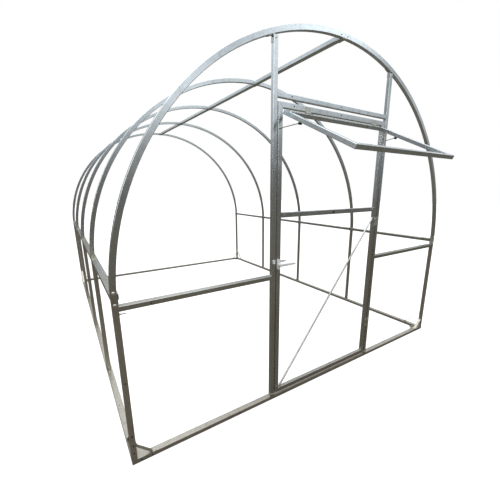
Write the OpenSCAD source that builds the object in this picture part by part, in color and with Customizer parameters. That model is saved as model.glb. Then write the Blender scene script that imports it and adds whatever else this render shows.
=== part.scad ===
// Arched greenhouse frame of galvanised steel tube.
// Five bows on straight legs stand on a rectangle of base rails. The front
// end has a hinged door between two posts, and the door carries a top-hung
// vent sash, propped open. X runs across the house, +Y runs from the front
// to the rear, and the origin is on the ground under the middle of the front
// base rail.

/* [Overall] */
// Width over the legs
frame_w = 3000; // [2400:10:3600]
// Distance from one bow to the next
bay_pitch = 1010; // [700:10:1200]
// Height over the crown of the bows
frame_h = 2443; // [2200:1:2700]
// Height of the joint between a leg and its bow
joint_z = 1030; // [900:5:1150]

/* [Tubes] */
// Face width of the tube of bows, legs and posts
bow_t = 30; // [20:1:36]
// Depth from front to back of the tube of bows, legs and posts
bow_d = 26; // [20:1:34]
// Width of the lying tube of rails
rail_w = 40; // [34:1:50]
// Height of the lying tube of rails
rail_h = 27; // [18:1:30]
// Wall of every tube
tube_wall = 1.2; // [1:0.1:2]
// Diameter of the anchor holes at the corners
anchor_d = 9; // [6:0.5:12]
// Height of the lower anchor hole in a corner leg
anchor_z = 123; // [60:1:150]
// Distance from the lower anchor hole to the upper one
anchor_step = 64; // [30:1:100]
// Distance of the anchor hole in an end rail from its end
anchor_inset = 52; // [40:1:100]
// Height of the middle of the side rails
side_rail_z = 985; // [800:5:1000]
// Height of the middle of the front mid rails
front_rail_z = 931; // [700:1:980]

/* [Doorway] */
// Clear width between the door posts
doorway_w = 1026; // [800:2:1200]
// Distance of the doorway's middle from the frame's middle
doorway_x = -8; // [-60:1:60]
// Underside of the transom over the door
transom_z = 2005; // [1800:5:2050]

/* [Door leaf] */
// Gap beside the leaf at the latch
latch_gap = 8; // [7:1:30]
// Gap beside the leaf at the hinges
hinge_gap = 8; // [7:1:20]
// Gap over the leaf, below the transom
head_gap = 20; // [8:1:30]
// Gap under the leaf, over the base rail
foot_gap = 16; // [6:1:30]
// Face width of the tube of the leaf
leaf_t = 32; // [22:1:36]
// Depth from front to back of the tube of the leaf
leaf_d = 26; // [20:1:34]
// Height of the middle of the leaf's mid rail
leaf_mid_z = 1335; // [1150:1:1500]
// Diameter of the leaf's diagonal brace
brace_d = 14; // [10:1:18]

/* [Vent sash] */
// Side of the square tube of the sash
sash_t = 25; // [20:1:28]
// Clearance round the sash in the leaf
sash_gap = 6; // [5:1:12]
// Angle that the sash is propped open
sash_angle = 65; // [40:1:75]
// Diameter of the stay rods
stay_d = 6; // [4:0.5:8]
// Distance down the sash to the eyes of the stay rods
stay_reach = 155; // [120:5:260]
// Height of the stay brackets below the top of the sash
stay_drop = 105; // [60:5:160]

/* [Door furniture] */
// Diameter of the hinge pins
hinge_pin_d = 6; // [5:0.5:7]
// Diameter of the hinge knuckles
hinge_knuckle_d = 11; // [10:0.5:14]
// Length of one hinge
hinge_len = 75; // [50:5:100]
// Height of the handle spindle
handle_z = 1018; // [900:1:1100]
// Diameter of the handle spindle
spindle_d = 8; // [6:0.5:10]
// Length of a lever from the spindle to its tip
lever_len = 115; // [80:5:130]

/* [Brackets] */
// Thickness of the stamped plate of brackets
plate_t = 2; // [1.5:0.1:3]
// Reach of the large corner struts
strut_reach = 155; // [100:5:200]
// Reach of the small corner struts
small_strut_reach = 84; // [50:2:100]
// Width of the bracket straps
strap_w = 24; // [16:1:28]
// Length of the screw tabs of brackets
tab_len = 24; // [18:1:40]

/* [Hidden] */

cut = 1;
seat = 0.3;
bays = 4;
frame_l = bays * bay_pitch + bow_d;
y_front = -rail_w / 2;
y_rear = y_front + frame_l;
bow_y = [for (i = [0 : bays]) y_front + bow_d / 2 + i * bay_pitch];

// A bow is one arc from joint to joint, so its radius follows from its half
// width and its rise.
leg_x = frame_w / 2 - bow_t / 2;
crown_z = frame_h - bow_t / 2;
bow_rise = crown_z - joint_z;
bow_r = (leg_x * leg_x + bow_rise * bow_rise) / (2 * bow_rise);
bow_cz = crown_z - bow_r;
bow_half_angle = atan2(leg_x, joint_z - bow_cz);
arc_fn = 360;

// Doorway and leaf
post_y = y_front + bow_d / 2;
post_left_x = doorway_x - doorway_w / 2;
post_right_x = doorway_x + doorway_w / 2;
leaf_x0 = post_left_x + latch_gap;
leaf_x1 = post_right_x - hinge_gap;
leaf_z0 = rail_h + foot_gap;
leaf_z1 = transom_z - head_gap;
leaf_y = y_front + leaf_d / 2;

// Door hinges lie on the faces of the leaf and the post, over the gap.
hinge_x = post_right_x - hinge_gap / 2;
hinge_y = y_front - hinge_knuckle_d / 2;
hinge_z = [leaf_z0 + 300, leaf_mid_z - 100, leaf_z1 - 90];
hinge_plate_w = 20;
pin_clear = 0.1;
knuckle_gap = 0.6;

// Vent opening in the upper half of the leaf
sash_x0 = leaf_x0 + leaf_t + sash_gap;
sash_x1 = leaf_x1 - leaf_t - sash_gap;
sash_top_z = leaf_z1 - leaf_t - sash_gap;
sash_h = sash_top_z - sash_gap - (leaf_mid_z + leaf_t / 2);
sash_knuckle_d = 8;
sash_pivot_y = y_front - sash_knuckle_d / 2;
stay_z = sash_top_z - stay_drop;

// Handle on the latch stile
handle_x = leaf_x0 + leaf_t / 2;
handle_plate_w = 26;
handle_plate_h = 70;
handle_plate_t = 7;
lever_stand = 34;
lever_t = 11;

galv = [0.72, 0.74, 0.76];
galv_dark = [0.52, 0.51, 0.48];
zinc = [0.80, 0.80, 0.74];
white = [0.94, 0.94, 0.92];

// Height of a bow's inner edge at a place x across the house
function bow_inner_z(x) = bow_cz + sqrt(pow(bow_r - bow_t / 2, 2) - x * x);

// A point of the sash after it is swung open: y and z from the sash's hinge line
function swung(y, z) = [sash_pivot_y + y * cos(sash_angle) + z * sin(sash_angle),
                        sash_top_z - y * sin(sash_angle) + z * cos(sash_angle)];

// Extrudes an outline drawn in X and Z by w, centred on Y
module across_y(w) {
    translate([0, w / 2, 0]) rotate([90, 0, 0]) linear_extrude(w) children();
}

// Extrudes an outline drawn in Y and Z by w, centred on X
module across_x(w) {
    translate([-w / 2, 0, 0]) rotate([90, 0, 90]) linear_extrude(w) children();
}

// Tube along +X from the origin, w in Y and h in Z
module tube(l, w, h) {
    difference() {
        translate([0, -w / 2, -h / 2]) cube([l, w, h]);
        translate([-cut, -w / 2 + tube_wall, -h / 2 + tube_wall])
            cube([l + 2 * cut, w - 2 * tube_wall, h - 2 * tube_wall]);
    }
}

// Tube upright from the origin, w in X and d in Y
module tube_up(l, w, d) {
    rotate([0, -90, 0]) tube(l, d, w);
}

// Tube along +Y from the origin, w in X and h in Z
module tube_back(l, w, h) {
    rotate([0, 0, 90]) tube(l, w, h);
}

// Bar of a mitred frame along +X, d deep: outer edge at z = 0, inner edge at z = t
module mitred_bar(l, t, d) {
    difference() {
        across_y(d) polygon([[0, 0], [l, 0], [l - t, t], [t, t]]);
        translate([-cut, -d / 2 + tube_wall, tube_wall])
            cube([l + 2 * cut, d - 2 * tube_wall, t - 2 * tube_wall]);
    }
}

// The same bar placed as one side of a frame that spans x0 to x1 and z0 to z1
module bottom_bar(x0, x1, z0, t, d) {
    translate([x0, 0, z0]) mitred_bar(x1 - x0, t, d);
}

module top_bar(x0, x1, z1, t, d) {
    translate([x0, 0, z1]) mirror([0, 0, 1]) mitred_bar(x1 - x0, t, d);
}

module left_bar(x0, z0, z1, t, d) {
    translate([x0, 0, z1]) rotate([0, 90, 0]) mitred_bar(z1 - z0, t, d);
}

module right_bar(x1, z0, z1, t, d) {
    translate([x1, 0, z0]) rotate([0, -90, 0]) mitred_bar(z1 - z0, t, d);
}

// ---- Base ----

// Hole right through a tube along Y
module anchor_hole(x, y, z) {
    translate([x, y, z]) rotate([90, 0, 0])
        cylinder(d = anchor_d, h = 2 * rail_w, center = true, $fn = 48);
}

module base_rail_across(y) {
    color(galv_dark) difference() {
        translate([-frame_w / 2, y, rail_h / 2]) tube(frame_w, rail_w, rail_h);
        for (side = [-1, 1]) anchor_hole(side * (frame_w / 2 - anchor_inset), y, rail_h / 2);
    }
}

module base_rail_front() {
    base_rail_across(y_front + rail_w / 2);
}

module base_rail_rear() {
    base_rail_across(y_rear - rail_w / 2);
}

module base_rail_along(side) {
    color(galv_dark) translate([side * (frame_w - rail_w) / 2, y_front + rail_w, rail_h / 2])
        tube_back(frame_l - 2 * rail_w, rail_w, rail_h);
}

// ---- Legs, bows and the tubes between them ----

module legs(side) {
    color(galv_dark) difference() {
        for (y = bow_y)
            translate([side * leg_x, y, rail_h]) tube_up(joint_z - rail_h, bow_t, bow_d);
        for (y = [bow_y[0], bow_y[bays]], step = [0, 1])
            anchor_hole(side * leg_x, y, anchor_z + step * anchor_step);
    }
}

// Half a bow, from the crown to the joint, cut level where it meets the leg
module bow_half(side) {
    overrun = 2;
    seam = seat / bow_r * 180 / PI;
    difference() {
        translate([0, 0, bow_cz]) rotate([90, 0, 0])
            rotate([0, 0, side > 0 ? 90 - bow_half_angle - overrun : 90 + seam])
            rotate_extrude(angle = bow_half_angle + overrun - seam, $fn = arc_fn)
            translate([bow_r, 0]) difference() {
                square([bow_t, bow_d], center = true);
                square([bow_t - 2 * tube_wall, bow_d - 2 * tube_wall], center = true);
            }
        translate([side * leg_x - 4 * bow_t, -2 * bow_t, joint_z - 8 * bow_t])
            cube([8 * bow_t, 4 * bow_t, 8 * bow_t]);
    }
}

module bow(i) {
    for (side = [-1, 1]) color(galv) translate([0, bow_y[i], 0]) bow_half(side);
}

// One length of tube in each bay, between the bows
module bay_tubes(x, z, w, h, inset) {
    for (i = [0 : bays - 1])
        color(galv) translate([x, bow_y[i] + bow_d / 2 + inset, z])
            tube_back(bay_pitch - bow_d - 2 * inset, w, h);
}

module ridge_purlin() {
    bay_tubes(0, frame_h - bow_t + rail_h / 2, rail_w, rail_h, 0);
}

module side_rail(side) {
    bay_tubes(side * (frame_w - rail_w) / 2, side_rail_z, rail_w, rail_h, plate_t);
}

module front_rail_left() {
    x0 = -frame_w / 2 + bow_t;
    color(galv) translate([x0, y_front + rail_w / 2, front_rail_z])
        tube(post_left_x - bow_t - x0, rail_w, rail_h);
}

module front_rail_right() {
    x0 = post_right_x + bow_t;
    color(galv) translate([x0, y_front + rail_w / 2, front_rail_z])
        tube(frame_w / 2 - bow_t - x0, rail_w, rail_h);
}

// ---- Doorway ----

// Post with its left face at x0, cut off square just under the bow
module door_post(x0) {
    far_x = max(abs(x0), abs(x0 + bow_t));
    color(galv) translate([x0 + bow_t / 2, post_y, rail_h])
        tube_up(bow_inner_z(far_x) - rail_h - seat, bow_t, bow_d);
}

module transom() {
    color(galv) translate([post_left_x, post_y, transom_z + rail_h / 2])
        tube(doorway_w, bow_d, rail_h);
}

// Angle under the bow at the left face of a post
module post_bracket(x0) {
    arm_x = x0 - 1.5 * tab_len;
    slope = (bow_inner_z(arm_x) - bow_inner_z(x0)) / (arm_x - x0);
    corner = bow_inner_z(x0) - 3 * seat;
    color(galv_dark) translate([0, post_y, 0]) across_y(strap_w)
        polygon([[x0, corner], [arm_x, corner + slope * (arm_x - x0)],
                 [arm_x, corner + slope * (arm_x - x0) - plate_t],
                 [x0 - plate_t, corner - 1.2 * plate_t],
                 [x0 - plate_t, corner - 1.5 * tab_len], [x0, corner - 1.5 * tab_len]]);
}

module post_brackets() {
    post_bracket(post_left_x - bow_t);
    post_bracket(post_right_x);
}

// ---- Brackets ----

// Strap across an inside corner in the XZ plane, from the upright at x = 0
// down to the floor at z = 0, with a screw tab at each end
module corner_strut(reach) {
    p = plate_t;
    across_y(strap_w)
        polygon([[0, reach - p], [0, reach + tab_len], [p, reach + tab_len], [p, reach],
                 [reach, p], [reach + tab_len, p], [reach + tab_len, 0], [reach - p, 0]]);
}

// The stamped pieces of one corner, drawn at the front left and mirrored
module corner_bracket(sx, sy) {
    middle_y = (y_front + y_rear) / 2;
    flat = small_strut_reach - 4 * plate_t;
    color(zinc)
    mirror([sx > 0 ? 1 : 0, 0, 0])
    translate([0, middle_y, 0]) mirror([0, sy > 0 ? 1 : 0, 0])
    translate([-frame_w / 2 + bow_t, y_front + bow_d - middle_y, rail_h]) {
        translate([0, -bow_d / 2, 0]) corner_strut(small_strut_reach);
        translate([-bow_t / 2, 0, 0]) rotate([0, 0, 90]) corner_strut(strut_reach);
        translate([rail_w - bow_t, rail_w - bow_d, -rail_h]) linear_extrude(plate_t)
            polygon([[0, 0], [flat, 0], [0, flat]]);
    }
}

// Two angles at the foot of each leg between the corners
module foot_brackets() {
    p = plate_t;
    for (side = [-1, 1], i = [1 : bays - 1], dir = [0, 1])
        color(zinc) translate([side * leg_x, bow_y[i], rail_h]) mirror([0, dir, 0])
            translate([0, bow_d / 2, 0]) across_x(strap_w)
            polygon([[0, 0], [1.8 * tab_len, 0], [1.8 * tab_len, p], [p, p],
                     [p, 1.8 * tab_len], [0, 1.8 * tab_len]]);
}

// Saddle round the inside of a leg at each side rail, with wings along the rail
module rail_clip(side, i) {
    p = plate_t;
    high = rail_h + tab_len;
    mirror([side > 0 ? 1 : 0, 0, 0])
    translate([-frame_w / 2, bow_y[i], side_rail_z - high / 2]) linear_extrude(high) {
        translate([bow_t, -bow_d / 2 - p]) square([p, bow_d + 2 * p]);
        if (i < bays) translate([0, bow_d / 2]) square([bow_t + p, p]);
        if (i > 0) translate([0, -bow_d / 2 - p]) square([bow_t + p, p]);
    }
}

module rail_clips() {
    for (side = [-1, 1], i = [0 : bays]) color(zinc) rail_clip(side, i);
}

// Plate under each bow where the ridge tubes meet it
module ridge_clips() {
    for (i = [0 : bays]) {
        y0 = bow_y[i] - bow_d / 2 - (i > 0 ? 1.5 * tab_len : 0);
        y1 = bow_y[i] + bow_d / 2 + (i < bays ? 1.5 * tab_len : 0);
        color(zinc) translate([-rail_w / 2, y0, frame_h - bow_t - seat - plate_t])
            cube([rail_w, y1 - y0, plate_t]);
    }
}

// ---- Door leaf ----

module in_leaf() {
    color(galv_dark) translate([0, leaf_y, 0]) children();
}

module handle_bore() {
    translate([handle_x, leaf_y + 2 * leaf_t, handle_z]) rotate([90, 0, 0])
        cylinder(d = spindle_d + 2 * pin_clear, h = 4 * leaf_t, $fn = 48);
}

module leaf_stile_latch() {
    color(galv_dark) difference() {
        translate([0, leaf_y, 0]) left_bar(leaf_x0, leaf_z0, leaf_z1, leaf_t, leaf_d);
        handle_bore();
    }
}

module leaf_stile_hinge() {
    in_leaf() right_bar(leaf_x1, leaf_z0, leaf_z1, leaf_t, leaf_d);
}

module leaf_top_rail() {
    in_leaf() top_bar(leaf_x0, leaf_x1, leaf_z1, leaf_t, leaf_d);
}

module leaf_bottom_rail() {
    in_leaf() bottom_bar(leaf_x0, leaf_x1, leaf_z0, leaf_t, leaf_d);
}

module leaf_mid_rail() {
    in_leaf() translate([leaf_x0 + leaf_t, 0, leaf_mid_z])
        tube(leaf_x1 - leaf_x0 - 2 * leaf_t, leaf_d, leaf_t);
}

// Round tube from the bottom latch corner to the hinge stile, its ends
// mitred to the rail and the stile
module leaf_brace() {
    x0 = leaf_x0 + leaf_t;
    x1 = leaf_x1 - leaf_t;
    z0 = leaf_z0 + leaf_t;
    z1 = leaf_mid_z - leaf_t / 2;
    low = [x0 + brace_d, z0];
    high = [x1, z1 - 4 * brace_d];
    run = high - low;
    slope = atan2(run[1], run[0]);
    long = norm(run) + 8 * brace_d;
    in_leaf() intersection() {
        translate([low[0], 0, low[1]]) rotate([0, 90 - slope, 0])
            translate([0, 0, -4 * brace_d]) difference() {
                cylinder(d = brace_d, h = long, $fn = 32);
                translate([0, 0, -cut])
                    cylinder(d = brace_d - 2 * tube_wall, h = long + 2 * cut, $fn = 32);
            }
        translate([x0, -brace_d, z0]) cube([x1 - x0, 2 * brace_d, z1 - z0]);
    }
}

// ---- Door hinges ----

// Half of a hinge: a plate on a front face and a knuckle over the gap, from
// z0 to z1. side is 1 on the post and -1 on the leaf.
module hinge_half(side, z0, z1) {
    reach = hinge_knuckle_d / 2 + 1;
    mirror([side < 0 ? 1 : 0, 0, 0]) translate([0, hinge_knuckle_d / 2 - plate_t, 0]) {
        translate([reach, 0, -hinge_len / 2]) cube([hinge_plate_w, plate_t, hinge_len]);
        translate([0, 0, z0]) cube([reach, plate_t, z1 - z0]);
    }
    translate([0, 0, z0]) cylinder(d = hinge_knuckle_d, h = z1 - z0, $fn = 48);
}

module hinge_plates_post() {
    for (z = hinge_z) color(zinc) translate([hinge_x, hinge_y, z]) {
        hinge_half(1, -hinge_len / 2, -knuckle_gap / 2);
        cylinder(d = hinge_pin_d, h = hinge_len / 2 - 2 * plate_t, $fn = 48);
        translate([0, 0, -knuckle_gap]) cylinder(d = hinge_pin_d, h = 2 * knuckle_gap, $fn = 48);
    }
}

module hinge_plates_leaf() {
    for (z = hinge_z) color(zinc) translate([hinge_x, hinge_y, z]) difference() {
        hinge_half(-1, knuckle_gap / 2, hinge_len / 2);
        translate([0, 0, -cut]) cylinder(d = hinge_pin_d + 2 * pin_clear,
                                         h = hinge_len / 2 - 2 * plate_t + pin_clear + cut, $fn = 48);
    }
}

// ---- Handle and latch ----

// Oval plate lying on the XZ plane, standing out to -Y
module oval_plate(w, h, t) {
    rotate([90, 0, 0]) {
        for (s = [-1, 1]) translate([0, s * (h - w) / 2, 0]) cylinder(d = w, h = t, $fn = 48);
        translate([-w / 2, -(h - w) / 2, 0]) cube([w, h - w, t]);
    }
}

module handle_plates() {
    color(white) for (face = [0, 1]) difference() {
        translate([handle_x, leaf_y, handle_z]) mirror([0, face, 0]) translate([0, -leaf_d / 2, 0])
            oval_plate(handle_plate_w, handle_plate_h, handle_plate_t);
        handle_bore();
    }
}

// Lever: a hub over the spindle and a grip that points to the hinges
module lever() {
    hub_d = spindle_d + 10;
    translate([0, -leaf_d / 2 - handle_plate_t - seat, 0]) {
        rotate([90, 0, 0]) cylinder(d = hub_d, h = lever_stand, $fn = 48);
        translate([0, -lever_stand, -lever_t / 2]) cube([lever_len - lever_t / 2, lever_t, lever_t]);
        translate([lever_len - lever_t / 2, -lever_stand, 0]) rotate([-90, 0, 0])
            cylinder(d = lever_t, h = lever_t, $fn = 32);
    }
}

module handle_lever() {
    spindle_l = leaf_d + 2 * handle_plate_t + 4 * seat;
    color(white) translate([handle_x, leaf_y, handle_z]) {
        for (face = [0, 1]) mirror([0, face, 0]) lever();
        translate([0, spindle_l / 2, 0]) rotate([90, 0, 0])
            cylinder(d = spindle_d, h = spindle_l, $fn = 48);
    }
}

module latch_keeper() {
    color(white) translate([post_left_x - bow_t / 2 - 6, y_front - 8, handle_z + 8]) cube([14, 8, 24]);
}

// ---- Vent sash ----

// Turns what is drawn on the closed sash, from its hinge line, to the propped place
module swing_sash() {
    translate([0, sash_pivot_y, sash_top_z]) rotate([-sash_angle, 0, 0]) children();
}

module in_sash() {
    color(galv) swing_sash() translate([0, sash_knuckle_d / 2 + sash_t / 2, 0]) children();
}

module sash_side_bars() {
    in_sash() left_bar(sash_x0, -sash_h, 0, sash_t, sash_t);
    in_sash() right_bar(sash_x1, -sash_h, 0, sash_t, sash_t);
}

module sash_cross_bars() {
    in_sash() top_bar(sash_x0, sash_x1, 0, sash_t, sash_t);
    in_sash() bottom_bar(sash_x0, sash_x1, -sash_h, sash_t, sash_t);
}

// Small hinge: a tab up the leaf's top rail, a knuckle, and a tab down the sash
module sash_hinge(x) {
    p = plate_t;
    r = sash_knuckle_d / 2;
    long = 44;
    color(zinc) translate([x - long / 2, 0, 0]) {
        translate([0, sash_pivot_y, sash_top_z]) rotate([0, 90, 0]) cylinder(d = 2 * r, h = long, $fn = 32);
        translate([0, y_front - p, sash_top_z]) cube([long, p, sash_gap + tab_len]);
        swing_sash() translate([0, r - p, -tab_len]) cube([long, p, tab_len]);
    }
}

module sash_hinges() {
    quarter = (sash_x1 - sash_x0) / 5;
    sash_hinge(sash_x0 + quarter);
    sash_hinge(sash_x1 - quarter / 2);
}

// Stay rod from an eye under a side bar to a bracket on the leaf's stile
module sash_stay(side) {
    stile_x = side < 0 ? leaf_x0 + leaf_t / 2 : leaf_x1 - leaf_t / 2;
    bar_x = side < 0 ? sash_x0 + sash_t / 2 : sash_x1 - sash_t / 2;
    under = swung(sash_knuckle_d / 2 + sash_t + stay_d / 2 + plate_t, -stay_reach);
    eye = [bar_x, under[0], under[1]];
    foot = [stile_x, y_front - stay_d / 2 - plate_t, stay_z];
    run = foot - eye;
    flat = norm([run[0], run[1]]);
    color(zinc) {
        translate(eye) rotate([0, 90 - atan2(run[2], flat), atan2(run[1], run[0])])
            cylinder(d = stay_d, h = norm(run), $fn = 24);
        translate(foot) rotate([90, 0, 0]) translate([0, 0, -stay_d / 2 - plate_t])
            cylinder(d = 2 * stay_d, h = stay_d + plate_t, $fn = 24);
        translate([eye[0] - stay_d, 0, 0]) swing_sash()
            translate([0, sash_knuckle_d / 2 + sash_t, -stay_reach - stay_d])
            cube([2 * stay_d, stay_d + 2 * plate_t, 2 * stay_d]);
    }
}

module sash_stays() {
    sash_stay(-1);
    sash_stay(1);
}

base_rail_front();
base_rail_rear();
base_rail_along(-1);  // base_rail_left
base_rail_along(1);  // base_rail_right
legs(-1);  // legs_left
legs(1);  // legs_right
bow(0);  // bow_front
bow(1);  // bow_2
bow(2);  // bow_3
bow(3);  // bow_4
bow(4);  // bow_rear
ridge_purlin();
side_rail(-1);  // side_rail_left
side_rail(1);  // side_rail_right
front_rail_left();
front_rail_right();
door_post(post_left_x - bow_t);  // door_post_left
door_post(post_right_x);  // door_post_right
transom();
corner_bracket(-1, -1);  // corner_bracket_front_left
corner_bracket(1, -1);  // corner_bracket_front_right
corner_bracket(-1, 1);  // corner_bracket_rear_left
corner_bracket(1, 1);  // corner_bracket_rear_right
foot_brackets();
rail_clips();
ridge_clips();
post_brackets();
hinge_plates_post();
latch_keeper();
leaf_stile_latch();
leaf_stile_hinge();
leaf_top_rail();
leaf_mid_rail();
leaf_bottom_rail();
leaf_brace();
hinge_plates_leaf();
handle_plates();
sash_side_bars();
sash_cross_bars();
sash_hinges();
sash_stays();
handle_lever();
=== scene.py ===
"""Bare frame of an arched greenhouse, with its door, handle set and propped vent sash."""

import logging
import math
import random
from dataclasses import dataclass, field
from enum import Enum
from typing import Callable, Iterable, Sequence

import bmesh
import bpy
from mathutils import Matrix, Vector


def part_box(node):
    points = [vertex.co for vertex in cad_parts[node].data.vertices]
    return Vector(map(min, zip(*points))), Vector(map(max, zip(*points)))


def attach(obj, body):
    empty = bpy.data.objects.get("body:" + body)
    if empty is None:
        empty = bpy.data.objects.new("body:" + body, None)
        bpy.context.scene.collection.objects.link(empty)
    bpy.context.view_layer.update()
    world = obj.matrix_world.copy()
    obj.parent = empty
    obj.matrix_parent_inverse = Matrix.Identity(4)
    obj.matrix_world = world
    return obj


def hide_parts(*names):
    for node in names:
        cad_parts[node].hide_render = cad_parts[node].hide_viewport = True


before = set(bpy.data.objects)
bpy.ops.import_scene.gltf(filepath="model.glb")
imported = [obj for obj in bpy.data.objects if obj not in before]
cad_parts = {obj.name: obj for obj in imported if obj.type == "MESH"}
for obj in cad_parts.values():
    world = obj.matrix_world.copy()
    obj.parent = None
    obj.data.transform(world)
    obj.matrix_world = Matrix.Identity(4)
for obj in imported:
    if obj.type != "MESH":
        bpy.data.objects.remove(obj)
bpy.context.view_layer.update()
LOG = logging.getLogger("greenhouse")


class Body(Enum):
    """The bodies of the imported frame."""

    FRAME = "frame"
    DOOR = "door"
    HANDLE = "handle"


class Slot(Enum):
    """The record's material slots."""

    STEEL = "galvanised_steel"
    DULL = "galvanised_dull"
    ZINC = "zinc_plated"
    PLASTIC = "white_plastic"


class Facing(Enum):
    """The way a small part faces, as the direction of its axis."""

    FRONT = (0.0, -1.0, 0.0)
    REAR = (0.0, 1.0, 0.0)
    LEFT = (-1.0, 0.0, 0.0)
    RIGHT = (1.0, 0.0, 0.0)
    UP = (0.0, 0.0, 1.0)
    DOWN = (0.0, 0.0, -1.0)

    @property
    def vector(self) -> Vector:
        """The direction as a vector."""
        return Vector(self.value)


# ---------------------------------------------------------------- finishes


def group_socket(group: bpy.types.NodeTree, name: str, kind: str, way: str,
        value: object = None) -> None:
    """Adds a named socket to a node group.

    Args:
        group: The node group.
        name: The socket's name.
        kind: The socket's type, such as NodeSocketFloat.
        way: INPUT or OUTPUT.
        value: The default of an input, or None.
    """
    socket = group.interface.new_socket(name=name, in_out=way, socket_type=kind)
    if value is not None:
        socket.default_value = value


def wire(tree: bpy.types.NodeTree, kind: str, values: dict[str, object] | None = None,
        **settings: object) -> bpy.types.Node:
    """Adds a node, sets its properties and fills its sockets.

    Args:
        tree: The node tree.
        kind: The node's type.
        values: Socket name to a constant or to the output socket that feeds it.
        settings: Properties of the node.

    Returns:
        The new node.
    """
    node = tree.nodes.new(kind)
    for key, value in settings.items():
        setattr(node, key, value)
    for key, value in (values or {}).items():
        socket = node.inputs[int(key)] if key.isdigit() else node.inputs[key]
        if isinstance(value, bpy.types.NodeSocket):
            tree.links.new(value, socket)
        else:
            socket.default_value = value
    return node


def blend_colour(tree: bpy.types.NodeTree, factor: object, low: object, high: object,
        mode: str = "MIX") -> bpy.types.NodeSocket:
    """Mixes two colours.

    Args:
        tree: The node tree.
        factor: The share of the second colour.
        low: The first colour or a socket.
        high: The second colour or a socket.
        mode: The way the two are mixed.

    Returns:
        The mixed colour's socket.
    """
    node = wire(tree, "ShaderNodeMix", data_type="RGBA", blend_type=mode)
    for index, value in ((0, factor), (6, low), (7, high)):
        if isinstance(value, bpy.types.NodeSocket):
            tree.links.new(value, node.inputs[index])
        else:
            node.inputs[index].default_value = value
    return node.outputs[2]


def spread(tree: bpy.types.NodeTree, value: bpy.types.NodeSocket, low: object, high: object,
        to_low: float = 0.0, to_high: float = 1.0) -> bpy.types.NodeSocket:
    """Maps a value from one range to another, smoothly and clamped.

    Args:
        tree: The node tree.
        value: The value's socket.
        low: The start of its range.
        high: The end of its range.
        to_low: What the start becomes.
        to_high: What the end becomes.

    Returns:
        The mapped value's socket.
    """
    node = wire(tree, "ShaderNodeMapRange",
        {"Value": value, "From Min": low, "From Max": high, "To Min": to_low, "To Max": to_high},
        interpolation_type="SMOOTHSTEP")
    return node.outputs["Result"]


def noise(tree: bpy.types.NodeTree, vector: bpy.types.NodeSocket, scale: object,
        detail: float = 3.0, rough: float = 0.55) -> bpy.types.NodeSocket:
    """Adds a noise pattern.

    Args:
        tree: The node tree.
        vector: Where the pattern is read.
        scale: Its scale.
        detail: Its octaves.
        rough: How strong the small octaves are.

    Returns:
        The pattern's value.
    """
    return wire(tree, "ShaderNodeTexNoise",
        {"Vector": vector, "Scale": scale, "Detail": detail, "Roughness": rough}).outputs["Fac"]


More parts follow.
